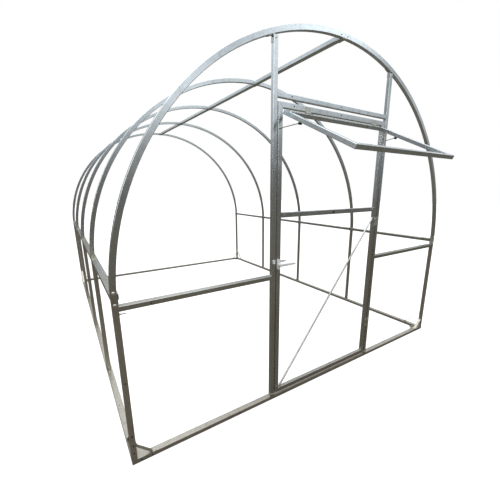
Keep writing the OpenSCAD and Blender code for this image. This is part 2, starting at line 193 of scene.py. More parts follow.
def zinc_weather_and_light_group() -> bpy.types.NodeTree:
    """Makes the look of zinc that is lighter high up and darker near the ground, partly weathering and
    partly painted light: painted sky light on high tubes, painted shade of the dark ground on low ones.

    Returns:
        The node group, with outputs Color, Roughness and Height.
    """
    group = bpy.data.node_groups.new("zinc_weather_and_light", "ShaderNodeTree")
    group_socket(group, "Vector", "NodeSocketVector", "INPUT")
    group_socket(group, "Clean Lit Color", "NodeSocketColor", "INPUT", (0.7, 0.75, 0.8, 1.0))
    group_socket(group, "Dull Shaded Color", "NodeSocketColor", "INPUT", (0.3, 0.29, 0.26, 1.0))
    group_socket(group, "Stain Color", "NodeSocketColor", "INPUT", (0.16, 0.14, 0.11, 1.0))
    group_socket(group, "Dull Shaded Below", "NodeSocketFloat", "INPUT", 0.9)
    group_socket(group, "Clean Lit Above", "NodeSocketFloat", "INPUT", 2.0)
    group_socket(group, "Stain", "NodeSocketFloat", "INPUT", 0.35)
    group_socket(group, "Gloss Rough", "NodeSocketFloat", "INPUT", 0.28)
    group_socket(group, "Dull Rough", "NodeSocketFloat", "INPUT", 0.5)
    for name, kind in (("Color", "NodeSocketColor"), ("Roughness", "NodeSocketFloat"),
            ("Height", "NodeSocketFloat")):
        group_socket(group, name, kind, "OUTPUT")
    given = wire(group, "NodeGroupInput").outputs
    place = given["Vector"]
    up = wire(group, "ShaderNodeSeparateXYZ", {"Vector": place}).outputs["Z"]
    broad = noise(group, place, 1.7, 2.0)
    drift = wire(group, "ShaderNodeMath",
        {"0": spread(group, broad, 0.3, 0.7, -0.25, 0.25), "1": up}, operation="ADD").outputs[0]
    # Painted light: the colour runs from the dull shaded colour near the ground to the clean lit colour
    # high up, standing for the dark ground and the bright sky reflected as well as for weathering
    clean_lit = spread(group, drift, given["Dull Shaded Below"], given["Clean Lit Above"])
    base = blend_colour(group, clean_lit, given["Dull Shaded Color"], given["Clean Lit Color"])
    # Crystals of the zinc coat, a few millimetres across
    cells = wire(group, "ShaderNodeTexVoronoi",
        {"Vector": place, "Scale": 90.0, "Randomness": 1.0}, feature="F1")
    facet = wire(group, "ShaderNodeSeparateColor", {"Color": cells.outputs["Color"]}).outputs[0]
    spangle = spread(group, facet, 0.0, 1.0, 0.94, 1.05)
    shade = wire(group, "ShaderNodeCombineColor",
        {"Red": spangle, "Green": spangle, "Blue": spangle}).outputs["Color"]
    flecked = blend_colour(group, 1.0, base, shade, "MULTIPLY")
    # Long soft stains, drawn out by rain
    drawn = wire(group, "ShaderNodeMapping",
        {"Vector": place, "Scale": (9.0, 9.0, 2.2)}).outputs["Vector"]
    streak = spread(group, noise(group, drawn, 2.4, 5.0, 0.62), 0.48, 0.78)
    amount = wire(group, "ShaderNodeMath", {"0": streak, "1": given["Stain"]},
        operation="MULTIPLY").outputs[0]
    stained = blend_colour(group, amount, flecked, given["Stain Color"])
    fine = noise(group, place, 420.0, 2.0)
    wear = wire(group, "ShaderNodeMath",
        {"0": spread(group, fine, 0.3, 0.7, -0.05, 0.05), "1": clean_lit}, operation="ADD").outputs[0]
    rough = wire(group, "ShaderNodeMix",
        {"0": wear, "2": given["Dull Rough"], "3": given["Gloss Rough"]},
        data_type="FLOAT").outputs[0]
    height = fine
    wire(group, "NodeGroupOutput", {"Color": stained, "Roughness": rough, "Height": height})
    return group


@dataclass(frozen=True)
class ZincFinish:
    """A coat of zinc on steel, with its own share of weather and of painted light: painted shade near the
    ground, painted sky light high up.

    Attributes:
        name: The material's name.
        clean_lit: Colour high up, where it stays bright: cleaner zinc with painted sky light.
        dull: Colour near the ground: weathered zinc with painted shade of the dark ground.
        stain: Colour of the stains.
        dull_shaded_below: Height below which it is dull and painted shaded all over.
        clean_lit_above: Height above which it is cleaner and painted lit all over.
        stain_share: How strong the stains are.
        metallic: How much of the surface is bare metal.
        gloss_rough: Roughness high up, where it is cleaner.
        dull_rough: Roughness where it is dull.
        bump: Depth of the surface's grain, in metres.
    """

    name: str
    clean_lit: tuple[float, float, float]
    dull: tuple[float, float, float]
    stain: tuple[float, float, float]
    dull_shaded_below: float = 0.7
    clean_lit_above: float = 2.1
    stain_share: float = 0.35
    metallic: float = 0.9
    gloss_rough: float = 0.26
    dull_rough: float = 0.42
    bump: float = 0.00006

    def material(self, weather_and_light: bpy.types.NodeTree) -> bpy.types.Material:
        """Makes the material.

        Args:
            weather_and_light: The shared zinc_weather_and_light group.

        Returns:
            The material.
        """
        made = bpy.data.materials.new(self.name)
        made.use_nodes = True
        tree = made.node_tree
        shader = tree.nodes["Principled BSDF"]
        shader.inputs["Metallic"].default_value = self.metallic
        place = wire(tree, "ShaderNodeTexCoord").outputs["Object"]
        coat = wire(tree, "ShaderNodeGroup", node_tree=weather_and_light)
        tree.links.new(place, coat.inputs["Vector"])
        for socket, value in (("Clean Lit Color", (*self.clean_lit, 1.0)),
            ("Dull Shaded Color", (*self.dull, 1.0)), ("Stain Color", (*self.stain, 1.0)),
                              ("Dull Shaded Below", self.dull_shaded_below), ("Clean Lit Above", self.clean_lit_above),
                              ("Stain", self.stain_share),
                              ("Gloss Rough", self.gloss_rough), ("Dull Rough", self.dull_rough)):
            coat.inputs[socket].default_value = value
        tree.links.new(coat.outputs["Color"], shader.inputs["Base Color"])
        tree.links.new(coat.outputs["Roughness"], shader.inputs["Roughness"])
        bump = wire(tree, "ShaderNodeBump",
            {"Height": coat.outputs["Height"], "Strength": 0.08, "Distance": self.bump})
        tree.links.new(bump.outputs["Normal"], shader.inputs["Normal"])
        return made


@dataclass(frozen=True)
class MouldedFinish:
    """A moulded or painted surface with a fine grain and faint soiling.

    Attributes:
        name: The material's name.
        colour: Its colour.
        soil: Colour of the soiling.
        rough: Its roughness.
        grain: Scale of the grain.
        bump: Depth of the grain, in metres.
    """

    name: str
    colour: tuple[float, float, float]
    soil: tuple[float, float, float]
    rough: float = 0.4
    grain: float = 900.0
    bump: float = 0.00004

    def material(self) -> bpy.types.Material:
        """Makes the material and returns it."""
        made = bpy.data.materials.new(self.name)
        made.use_nodes = True
        tree = made.node_tree
        shader = tree.nodes["Principled BSDF"]
        place = wire(tree, "ShaderNodeTexCoord").outputs["Object"]
        soiled = spread(tree, noise(tree, place, 38.0, 4.0), 0.5, 0.75, 0.0, 0.45)
        tree.links.new(blend_colour(tree, soiled, (*self.colour, 1.0), (*self.soil, 1.0)),
            shader.inputs["Base Color"])
        fine = noise(tree, place, self.grain, 2.0)
        tree.links.new(spread(tree, fine, 0.2, 0.8, self.rough - 0.06, self.rough + 0.08),
            shader.inputs["Roughness"])
        bump = wire(tree, "ShaderNodeBump",
            {"Height": fine, "Strength": 0.3, "Distance": self.bump})
        tree.links.new(bump.outputs["Normal"], shader.inputs["Normal"])
        return made


@dataclass
class Paintbox:
    """Every material of the scene, made once."""

    steel: bpy.types.Material = field(init=False)
    dull: bpy.types.Material = field(init=False)
    zinc: bpy.types.Material = field(init=False)
    bolt: bpy.types.Material = field(init=False)
    weld: bpy.types.Material = field(init=False)
    plastic: bpy.types.Material = field(init=False)
    rubber: bpy.types.Material = field(init=False)
    bore: bpy.types.Material = field(init=False)

    def __post_init__(self) -> None:
        """Makes the materials."""
        weather_and_light = zinc_weather_and_light_group()
        # The clean and dull colours of each zinc finish hold painted light as well as weathering: the dull
        # colour is painted shade of the dark ground on low parts, the clean colour painted sky light on
        # high ones
        self.steel = ZincFinish("galvanised_steel", (0.72, 0.77, 0.80), (0.50, 0.485, 0.44),
            (0.24, 0.22, 0.19), 0.7, 2.0, 0.32, 0.93, 0.17, 0.26).material(weather_and_light)
        self.dull = ZincFinish("galvanised_dull", (0.56, 0.56, 0.53), (0.50, 0.465, 0.405),
            (0.22, 0.19, 0.15), 0.5, 2.3, 0.5, 0.9, 0.24, 0.3).material(weather_and_light)
        self.zinc = ZincFinish("zinc_plated", (0.62, 0.62, 0.56), (0.42, 0.41, 0.33),
            (0.16, 0.14, 0.10), 0.1, 1.9, 0.3, 0.85, 0.3, 0.42).material(weather_and_light)
        self.bolt = ZincFinish("bright_fastener", (0.82, 0.82, 0.80), (0.70, 0.69, 0.64),
            (0.30, 0.27, 0.22), 0.1, 1.9, 0.2, 0.9, 0.22, 0.34).material(weather_and_light)
        self.weld = ZincFinish("sprayed_weld", (0.40, 0.42, 0.42), (0.16, 0.15, 0.13),
            (0.06, 0.05, 0.04), 0.5, 2.1, 0.6, 0.6, 0.5, 0.62, 0.0002).material(weather_and_light)
        self.plastic = MouldedFinish("white_plastic", (0.78, 0.78, 0.77), (0.70, 0.69, 0.64),
            0.34).material()
        self.rubber = MouldedFinish("black_rubber", (0.030, 0.030, 0.032), (0.06, 0.055, 0.05),
            0.6, 700.0).material()
        self.bore = MouldedFinish("shaded_bore", (0.012, 0.011, 0.010), (0.03, 0.027, 0.022),
            0.8).material()


# ---------------------------------------------------------------- modelling


class Bench:
    """The moves of modelling by hand, each made with Blender's own operators."""

    @staticmethod
    def clear() -> None:
        """Deselects everything."""
        if bpy.context.object and bpy.context.object.mode != "OBJECT":
            bpy.ops.object.mode_set(mode="OBJECT")
        bpy.ops.object.select_all(action="DESELECT")

    @staticmethod
    def take(obj: bpy.types.Object) -> None:
        """Selects one object alone and makes it active.

        Args:
            obj: The object.
        """
        Bench.clear()
        obj.select_set(True)
        bpy.context.view_layer.objects.active = obj

    @staticmethod
    def newest(name: str) -> bpy.types.Object:
        """Names the object that was just added and settles it.

        Args:
            name: Its name.

        Returns:
            The object, at the origin, with its place in its mesh.
        """
        obj = bpy.context.object
        obj.name = name
        obj.data.name = name
        Bench.take(obj)
        bpy.ops.object.transform_apply(location=True, rotation=True, scale=True)
        return obj

    @staticmethod
    def box(name: str, low: Sequence[float], high: Sequence[float]) -> bpy.types.Object:
        """Adds a block between two corners.

        Args:
            name: Its name.
            low: Its lowest corner.
            high: Its highest corner.

        Returns:
            The block.
        """
        a, b = Vector(low), Vector(high)
        Bench.clear()
        bpy.ops.mesh.primitive_cube_add(size=1.0, location=(a + b) / 2, scale=b - a)
        return Bench.newest(name)

    @staticmethod
    def rod(name: str, start: Sequence[float], end: Sequence[float], radius: float,
            sides: int = 16) -> bpy.types.Object:
        """Adds a rod between two points.

        Args:
            name: Its name.
            start: The middle of one end.
            end: The middle of the other end.
            radius: Its radius.
            sides: Its number of sides.

        Returns:
            The rod.
        """
        a, b = Vector(start), Vector(end)
        turn = (b - a).to_track_quat("Z", "Y").to_euler()
        Bench.clear()
        bpy.ops.mesh.primitive_cylinder_add(vertices=sides, radius=radius, depth=(b - a).length,
            location=(a + b) / 2, rotation=turn)
        return Bench.newest(name)

    @staticmethod
    def pick(obj: bpy.types.Object, kind: str, test: Callable[[object], bool]) -> int:
        """Enters edit mode and selects the faces or edges that pass a test.

        Args:
            obj: The object.
            kind: FACE or EDGE.
            test: Says whether a bmesh face or edge is chosen.

        Returns:
            How many were chosen.
        """
        Bench.take(obj)
        bpy.ops.object.mode_set(mode="EDIT")
        bpy.ops.mesh.select_mode(type=kind)
        bpy.ops.mesh.select_all(action="DESELECT")
        mesh = bmesh.from_edit_mesh(obj.data)
        mesh.normal_update()
        chosen = [item for item in (mesh.faces if kind == "FACE" else mesh.edges) if test(item)]
        for item in chosen:
            item.select_set(True)
        bmesh.update_edit_mesh(obj.data)
        return len(chosen)

    @staticmethod
    def soften(obj: bpy.types.Object, width: float, segments: int = 2,
            angle: float = 40.0) -> None:
        """Rounds the sharp edges of an object with a Bevel modifier and applies it.

        Args:
            obj: The object.
            width: The width of the round.
            segments: Its number of steps.
            angle: Edges sharper than this, in degrees, are rounded.
        """
        Bench.take(obj)
        bevel = obj.modifiers.new("round", "BEVEL")
        bevel.width = width
        bevel.segments = segments
        bevel.limit_method = "ANGLE"
        bevel.angle_limit = math.radians(angle)
        bpy.ops.object.modifier_apply(modifier=bevel.name)
        Bench.smooth(obj)

    @staticmethod
    def smooth(obj: bpy.types.Object, angle: float = 32.0) -> None:
        """Shades an object smooth, but sharp at edges over an angle.

        Args:
            obj: The object.
            angle: The angle in degrees.
        """
        Bench.take(obj)
        bpy.ops.object.shade_smooth_by_angle(angle=math.radians(angle))

    @staticmethod
    def flatten(obj: bpy.types.Object) -> None:
        """Keeps the large faces of a rounded object flat by weighing its normals by area.

        Args:
            obj: The object.
        """
        Bench.take(obj)
        weigh = obj.modifiers.new("weigh", "WEIGHTED_NORMAL")
        weigh.weight = 90
        weigh.keep_sharp = True
        bpy.ops.object.modifier_apply(modifier=weigh.name)

    @staticmethod
    def copy_to(master: bpy.types.Object, name: str, place: Vector, facing: Vector,
            spin: float = 0.0) -> bpy.types.Object:
        """Copies a small part that was modelled at the origin, facing +Z.

        Args:
            master: The part.
            name: The copy's name.
            place: Where its foot goes.
            facing: The way it faces.
            spin: Its turn about its own axis, in radians.

        Returns:
            The copy, with its own mesh.
        """
        mesh = master.data.copy()
        mesh.transform(Matrix.Translation(place) @ facing.to_track_quat("Z",
            "Y").to_matrix().to_4x4() @ Matrix.Rotation(spin, 4, "Z"))
        obj = bpy.data.objects.new(name, mesh)
        bpy.context.scene.collection.objects.link(obj)
        return obj

    @staticmethod
    def join(name: str, parts: Iterable[bpy.types.Object]) -> bpy.types.Object:
        """Joins parts into one piece.

        Args:
            name: The piece's name.
            parts: The parts.

        Returns:
            The piece.
        """
        held = list(parts)
        Bench.clear()
        for part in held:
            part.select_set(True)
        bpy.context.view_layer.objects.active = held[0]
        if len(held) > 1:
            bpy.ops.object.join()
        held[0].name = name
        held[0].data.name = name
        return held[0]

    @staticmethod
    def discard(*objs: bpy.types.Object) -> None:
        """Removes objects that were only masters."""
        for obj in objs:
            bpy.data.objects.remove(obj)


def dress(obj: bpy.types.Object, *materials: bpy.types.Material) -> bpy.types.Object:
    """Puts materials on an object's slots.

    Args:
        obj: The object.
        materials: One or more materials, in slot order.

    Returns:
        The object.
    """
    obj.data.materials.clear()
    for material in materials:
        obj.data.materials.append(material)
    return obj


def finish_piece(obj: bpy.types.Object, body: Body, slot: Slot,
        *stands_for: str) -> bpy.types.Object:
    """Makes a piece ride on its body, hides the CAD nodes that it replaces and logs it.

    Args:
        obj: The piece.
        body: The body that carries it.
        slot: The record's slot for its finish; not used.
        stands_for: CAD nodes that it replaces.

    Returns:
        The piece.
    """
    Bench.clear()
    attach(obj, body.value)
    if stands_for:
        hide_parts(*stands_for)
    LOG.info("piece %s: %d faces on %s", obj.name, len(obj.data.polygons), body.value)
    return obj


# ---------------------------------------------------------------- small parts


@dataclass
class Fasteners:
    """Screws, rivets and drilled holes, each modelled once at the origin.

    Attributes:
        paint: The materials.
        screw_r: Radius of a screw's washer.
        rivet_r: Radius of a rivet's head.
        hole_r: Radius of a drilled hole.
        bolt_r: Radius of a coach bolt's head.
        port_r: Radius of the large hole in the door's mid rail.
    """

    paint: Paintbox
    screw_r: float = 0.0058
    rivet_r: float = 0.0038
    hole_r: float = 0.0042
    bolt_r: float = 0.0085
    port_r: float = 0.0100
    screw: bpy.types.Object = field(init=False)
    rivet: bpy.types.Object = field(init=False)
    hole: bpy.types.Object = field(init=False)
    bolt: bpy.types.Object = field(init=False)
    port: bpy.types.Object = field(init=False)
    serial: int = field(init=False, default=0)

    def __post_init__(self) -> None:
        """Models the five masters."""
        self.screw = self.build_screw()
        self.rivet = self.build_dome("rivet_master", self.rivet_r, 0.0016, 12)
        self.bolt = self.build_dome("bolt_master", self.bolt_r, 0.0042, 18)
        self.hole = self.build_hole("hole_master", self.hole_r)
        self.port = self.build_hole("port_master", self.port_r)

    @staticmethod
    def top_of(height: float) -> Callable[[object], bool]:
        """Gives a test for the face that looks up at a height."""
        return lambda face: face.normal.z > 0.9 and face.calc_center_median().z > height - 1e-5

    def build_screw(self) -> bpy.types.Object:
        """Models a hexagon-head screw with a pressed washer.

        Returns:
            The screw, its washer on the XY plane.
        """
        washer, head = 0.0010, 0.0038
        obj = Bench.rod("screw_master", (0, 0, 0), (0, 0, washer), self.screw_r, 12)
        Bench.pick(obj, "FACE", self.top_of(washer))
        bpy.ops.mesh.inset(thickness=self.screw_r * 0.30, depth=0.0)
        bpy.ops.mesh.extrude_region_move(TRANSFORM_OT_translate={"value": (0, 0, head - washer)})
        bpy.ops.mesh.inset(thickness=self.screw_r * 0.12, depth=0.0003)
        bpy.ops.mesh.inset(thickness=self.screw_r * 0.22, depth=0.0)
        bpy.ops.mesh.extrude_region_move(TRANSFORM_OT_translate={"value": (0, 0, -0.0008)})
        bpy.ops.object.mode_set(mode="OBJECT")
        Bench.smooth(obj, 28.0)
        return dress(obj, self.paint.bolt)

    def build_dome(self, name: str, radius: float, height: float, sides: int) -> bpy.types.Object:
        """Models a domed head.

        Args:
            name: Its name.
            radius: Its radius.
            height: Its height.
            sides: Its number of sides.

        Returns:
            The head, its foot on the XY plane.
        """
        obj = Bench.rod(name, (0, 0, 0), (0, 0, height * 0.35), radius, sides)
        Bench.pick(obj, "FACE", self.top_of(height * 0.35))
        bpy.ops.mesh.inset(thickness=radius * 0.22, depth=height * 0.33)
        bpy.ops.mesh.inset(thickness=radius * 0.30, depth=height * 0.24)
        bpy.ops.mesh.inset(thickness=radius * 0.28, depth=height * 0.08)
        bpy.ops.object.mode_set(mode="OBJECT")
        Bench.smooth(obj, 50.0)
        return dress(obj, self.paint.bolt)

    def build_hole(self, name: str, radius: float) -> bpy.types.Object:
        """Models the rim and dark mouth of a drilled hole.

        Args:
            name: Its name.
            radius: Its radius.

        Returns:
            The hole, its rim on the XY plane.
        """
        lip = 0.0003
        obj = Bench.rod(name, (0, 0, 0), (0, 0, lip), radius, 14)
        Bench.pick(obj, "FACE", self.top_of(lip))
        bpy.ops.mesh.inset(thickness=radius * 0.12, depth=0.0)
        bpy.ops.mesh.extrude_region_move(TRANSFORM_OT_translate={"value": (0, 0, -lip * 0.6)})
        bpy.ops.object.mode_set(mode="OBJECT")
        Bench.smooth(obj, 30.0)
        return dress(obj, self.paint.bore)

    def put(self, master: bpy.types.Object,
            spots: Iterable[tuple[Sequence[float], Facing]]) -> list[bpy.types.Object]:
        """Copies a master to many spots.

        Args:
            master: The screw, rivet, bolt or hole.
            spots: Places and the way each faces.

        Returns:
            The copies.
        """
        made = []
        for place, facing in spots:
            self.serial += 1
            made.append(Bench.copy_to(master, f"part_{self.serial}", Vector(place), facing.vector,
                self.serial * 0.7))
        return made

    def put_away(self) -> None:
        """Removes the masters."""
        Bench.discard(self.screw, self.rivet, self.hole, self.bolt, self.port)


# ---------------------------------------------------------------- the frame's tubes


@dataclass
class SteelTubes:
    """Tubes of the frame and the door, with the rounded corners of rolled tube.

    Attributes:
        paint: The materials.
        corner_r: Radius of a tube's corners.
        steps: Steps in each round.
        end_area: Faces smaller than this are ends and holes, in square metres.
        across: The widest inner width of a tube.
        dull_nodes: CAD nodes of dull tube.
        bright_nodes: CAD nodes of bright tube on the frame.
        leaf_nodes: CAD nodes of tube on the door.
    """

    paint: Paintbox
    corner_r: float = 0.0024
    steps: int = 3
    end_area: float = 0.00026
    across: float = 0.039
    dull_nodes: tuple[str, ...] = ("base_rail_front", "base_rail_rear", "base_rail_left",
        "base_rail_right", "legs_left", "legs_right")
    bright_nodes: tuple[str, ...] = ("bow_front", "bow_2", "bow_3", "bow_4", "bow_rear",
        "ridge_purlin", "side_rail_left", "side_rail_right",
                                     "front_rail_left", "front_rail_right", "door_post_left",
                                     "door_post_right", "transom")
    leaf_nodes: tuple[str, ...] = ("leaf_stile_latch", "leaf_stile_hinge", "leaf_top_rail",
        "leaf_mid_rail", "leaf_bottom_rail",
                                   "sash_side_bars", "sash_cross_bars")

    def is_corner(self, edge: object) -> bool:
        """Says whether an edge is an outer corner that runs along a tube.

        Args:
            edge: A bmesh edge.

        Returns:
            True where the edge is to be rounded.
        """
        if len(edge.link_faces) != 2 or any(
                face.calc_area() < self.end_area for face in edge.link_faces):
            return False
        return math.radians(70) < edge.calc_face_angle_signed(0.0) < math.radians(110)

    def rounded(self, node: str) -> bpy.types.Object:
        """Copies a CAD tube and rounds its corners.

        Args:
            node: The CAD node.

        Returns:
            The rounded tube.
        """
        obj = bpy.data.objects.new(node + "_tube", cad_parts[node].data.copy())
        bpy.context.scene.collection.objects.link(obj)
        Bench.pick(obj, "FACE", lambda face: True)
        bpy.ops.mesh.remove_doubles(threshold=0.00001)
        bpy.ops.mesh.dissolve_limited(angle_limit=math.radians(0.15))
        bpy.ops.object.mode_set(mode="OBJECT")
        if Bench.pick(obj, "EDGE", self.is_corner):
            bpy.ops.mesh.bevel(offset=self.corner_r, segments=self.steps, profile=0.5,
                affect="EDGES", clamp_overlap=False)
        bpy.ops.object.mode_set(mode="OBJECT")
        Bench.smooth(obj, 40.0)
        Bench.flatten(obj)
        return obj

    def build(self) -> list[bpy.types.Object]:
        """Rounds and dresses every tube.

        Returns:
            The pieces.
        """
        made = []
        for nodes, material, slot, body in ((self.dull_nodes, self.paint.dull, Slot.DULL,
            Body.FRAME),
                                            (self.bright_nodes, self.paint.steel, Slot.STEEL,
                                            Body.FRAME),
                                            (self.leaf_nodes, self.paint.steel, Slot.STEEL,
                                            Body.DOOR)):
            for node in nodes:
                tube = dress(self.rounded(node), material, self.paint.bore)
                self.shade_inside(tube)
                made.append(finish_piece(tube, body, slot, node))
        return made

    def shade_inside(self, tube: bpy.types.Object) -> None:
        """Gives the inner walls and the bores of a tube the dark second material.

        Args:
            tube: The rounded tube.
        """
        inside = 0
        for face in tube.data.polygons:
            start = face.center + face.normal * 0.0002
            if tube.ray_cast(start, face.normal, distance=self.across)[0]:
                face.material_index = 1
                inside += 1
        LOG.info("%s: %d inner faces", tube.name, inside)


@dataclass
class KeptPieces:
    """CAD pieces whose shape is right: they only get their finish.

    Attributes:
        paint: The materials.
        zinc_nodes: Stamped and turned pieces with a zinc coat.
        steel_nodes: Bright tube that needs no rounding.
        dull_nodes: Brackets with the same dull coat as the low tubes.
    """

    paint: Paintbox
    zinc_nodes: tuple[str, ...] = ("foot_brackets", "rail_clips", "ridge_clips",
        "hinge_plates_post", "hinge_plates_leaf", "sash_hinges", "sash_stays")
    steel_nodes: tuple[str, ...] = ("leaf_brace",)
    dull_nodes: tuple[str, ...] = ("post_brackets", "corner_bracket_front_left",
        "corner_bracket_front_right", "corner_bracket_rear_left",
                                   "corner_bracket_rear_right")

    def build(self) -> None:
        """Gives each kept piece its material."""
        for nodes, material in ((self.zinc_nodes, self.paint.zinc),
                (self.steel_nodes, self.paint.steel), (self.dull_nodes, self.paint.dull)):
            for node in nodes:
                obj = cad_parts[node]
                dress(obj, material)
                LOG.info("kept %s", node)


# ---------------------------------------------------------------- fittings of the frame


@dataclass
class FrameFittings:
    """Bolts, screws, drilled holes, joint sleeves and wing plates of the standing frame.

    Attributes:
        paint: The materials.
        parts: The fasteners' masters.
        joint_z: Height of the joints between legs and bows.
        wing: Length of a wing plate along a rail.
        plate: Thickness of a wing plate.
        rail_outer_x: Outer edge of a side rail's top face.
        rail_inner_x: Inner edge of a side rail's top face.
        wing_inset: How far a wing plate stays inside that face.
        wing_fold: Height of a wing plate's folded edge.
        clip_screw_rise: A clip's screws, above and below the rail's middle.
        strap_screw: A foot strap's screws, from the leg or the rail.
        strut_screw: A corner strut's screws, from the leg or the rail.
        small_strut_screw: The same for a corner's short strut.
    """

    paint: Paintbox
    parts: Fasteners
    joint_z: float = 1.030
    wing: float = 0.085
    plate: float = 0.0015
    rail_outer_x: float = 1.4995
    rail_inner_x: float = 1.4605
    wing_inset: float = 0.002
    wing_fold: float = 0.020
    clip_screw_rise: float = 0.015
    strap_screw: float = 0.030
    strut_screw: float = 0.168
    small_strut_screw: float = 0.096

    def __post_init__(self) -> None:
        """Reads the places of the frame's tubes."""
        self.leg_low, self.leg_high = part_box("legs_left")
        self.leg_x = (self.leg_low.x + self.leg_high.x) / 2
        self.half = (self.leg_high.x - self.leg_low.x) / 2
        self.rail_low, self.rail_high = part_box("side_rail_left")
        self.base_low, self.base_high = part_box("base_rail_left")
        bow_low, bow_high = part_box("bow_front")
        self.front, self.depth = bow_low.y, bow_high.y - bow_low.y
        last_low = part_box("bow_rear")[0]
        self.pitch = (last_low.y - self.front) / 4
        self.rear = last_low.y + self.depth
        self.bow_y = [self.front + self.depth / 2 + i * self.pitch for i in range(5)]

    def leg_bolts(self) -> list[bpy.types.Object]:
        """Puts two coach bolts on each front leg by its side rail and two flat rivets on each rear leg."""
        made = []
        heights = (self.joint_z - 0.014, self.rail_low.z - 0.018)
        for master, y, facing in ((self.parts.bolt, self.front, Facing.FRONT),
                (self.parts.rivet, self.rear, Facing.REAR)):
            made += self.parts.put(master,
                [((side * abs(self.leg_x), y, z), facing) for side in (-1, 1) for z in heights])
        return made

    def clip_screws(self) -> list[bpy.types.Object]:
        """Puts screws on the rail clips, the foot brackets, the corner straps and the ridge clips."""
        spots = []
        middle = (self.rail_low.z + self.rail_high.z) / 2
        for side in (-1, 1):
            inner = side * (abs(self.leg_x) - self.half - 0.002)
            inward = Facing.RIGHT if side < 0 else Facing.LEFT
            for y in self.bow_y[1:]:
                spots += [((inner, y, middle + dz), inward) for dz in (-self.clip_screw_rise,
                    self.clip_screw_rise)]
            for y in self.bow_y[1:4]:
                for way in (-1, 1):
                    spots.append(((side * abs(self.leg_x),
                        y + way * (self.depth / 2 + self.strap_screw), self.base_high.z + 0.002),
                        Facing.UP))
                    spots.append(((side * abs(self.leg_x), y + way * (self.depth / 2 + 0.002),
                        self.base_high.z + self.strap_screw),
                        Facing.REAR if way > 0 else Facing.FRONT))
            for y, way in ((self.front + self.depth, 1), (self.rear - self.depth, -1)):
                x = side * abs(self.leg_x)
                spots.append(((x, y + way * self.strut_screw, self.base_high.z + 0.002),
                    Facing.UP))
                spots.append(((x, y + way * 0.002, self.base_high.z + self.strut_screw),
                    Facing.REAR if way > 0 else Facing.FRONT))
                spots.append(((side * (abs(self.leg_x) - self.half - self.small_strut_screw),
                    y - way * self.depth / 2, self.base_high.z + 0.002), Facing.UP))
                spots.append(((side * (abs(self.leg_x) - self.half - 0.002),
                    y - way * self.depth / 2, self.base_high.z + self.small_strut_screw), inward))
        clip_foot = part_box("ridge_clips")[0].z
        for i, y in enumerate(self.bow_y):
            for way in (-1, 1):
                if 0 <= i + way <= 4:
                    spots += [((x, y + way * (self.depth / 2 + 0.018), clip_foot),
                        Facing.DOWN) for x in (-0.011, 0.011)]
        return self.parts.put(self.parts.screw, spots)

    def drilled_holes(self) -> list[bpy.types.Object]:
        """Puts the small open screw holes on the rails, legs and transom."""
        front_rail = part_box("front_rail_left")
        right_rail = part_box("front_rail_right")
        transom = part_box("transom")
        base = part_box("base_rail_front")
        spots = []
        for low, high, xs in ((*front_rail, (-1.318, -0.62)), (*right_rail, (0.62, 1.318))):
            spots += [((x, low.y, (low.z + high.z) / 2), Facing.FRONT) for x in xs]
        spots += [((x, transom[0].y, (transom[0].z + transom[1].z) / 2),
            Facing.FRONT) for x in (-0.415, 0.008, 0.288)]
        for sign in (-1, 1):
            spots += [((sign * x, base[0].y, (base[0].z + base[1].z) / 2),
                Facing.FRONT) for x in (1.391, 0.807)]
            spots += [((sign * abs(self.leg_x), self.front, z), Facing.FRONT) for z in (0.520,
                0.075)]
            inward = Facing.RIGHT if sign < 0 else Facing.LEFT
            for y in self.bow_y:
                spots.append(((sign * (abs(self.leg_x) - self.half), y, 0.520), inward))
            for i in range(4):
                y = self.bow_y[i] + self.pitch / 2
                spots += [((sign * abs(self.leg_x), y, z), Facing.UP) for z in (self.rail_high.z,
                    self.base_high.z)]
        for i in range(4):
            y = self.bow_y[i] + self.pitch / 2
            spots.append(((0.0, y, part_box("ridge_purlin")[0].z), Facing.DOWN))
        return self.parts.put(self.parts.hole, spots)

    def crown_screws(self) -> list[bpy.types.Object]:
        """Puts a pair of screws beside the seam at the crown of each bow and two at each post's head."""
        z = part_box("bow_front")[1].z - 0.015
        spots = []
        for y in self.bow_y:
            spots += [((x, y - self.depth / 2, z), Facing.FRONT) for x in (-0.028, 0.028)]
        for name in ("door_post_left", "door_post_right"):
            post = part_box(name)
            x = (post[0].x + post[1].x) / 2
            spots.append(((x, post[0].y, post[1].z - 0.014), Facing.FRONT))
            spots.append(((x, post[0].y, post[0].z + 0.016), Facing.FRONT))
        return self.parts.put(self.parts.screw, spots)

    def joint_sleeves(self) -> bpy.types.Object:
        """Models the dark seams where a bow stands on its leg and where two halves of a bow meet.

        Returns:
            The piece.
        """
        made = []
        outer, deep = self.half + 0.0003, self.depth / 2 + 0.0003
        for side in (-1, 1):
            for i, y in enumerate(self.bow_y):
                x = side * abs(self.leg_x)
                near = x - side * outer
                far = x + side * (self.half - 0.0004)
                made.append(self.band(f"seam_{side}_{i}",
                    (min(near, far), y - deep, self.joint_z - 0.0009),
                    (max(near, far), y + deep, self.joint_z + 0.0009)))
        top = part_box("bow_front")[1].z
        for i, y in enumerate(self.bow_y):
            made.append(self.band(f"crown_{i}", (-0.0008, y - deep, top - 0.0297),
                (0.0008, y + deep, top - 0.0003)))
        return Bench.join("bow_seams", made)

    @staticmethod
    def band(name: str, low: Sequence[float], high: Sequence[float]) -> bpy.types.Object:
        """Models one thin band round a tube.

        Args:
            name: Its name.
            low: Its lowest corner.
            high: Its highest corner.

        Returns:
            The band.
        """
        obj = Bench.box(name, low, high)
        Bench.soften(obj, 0.0005, 2)
        return obj

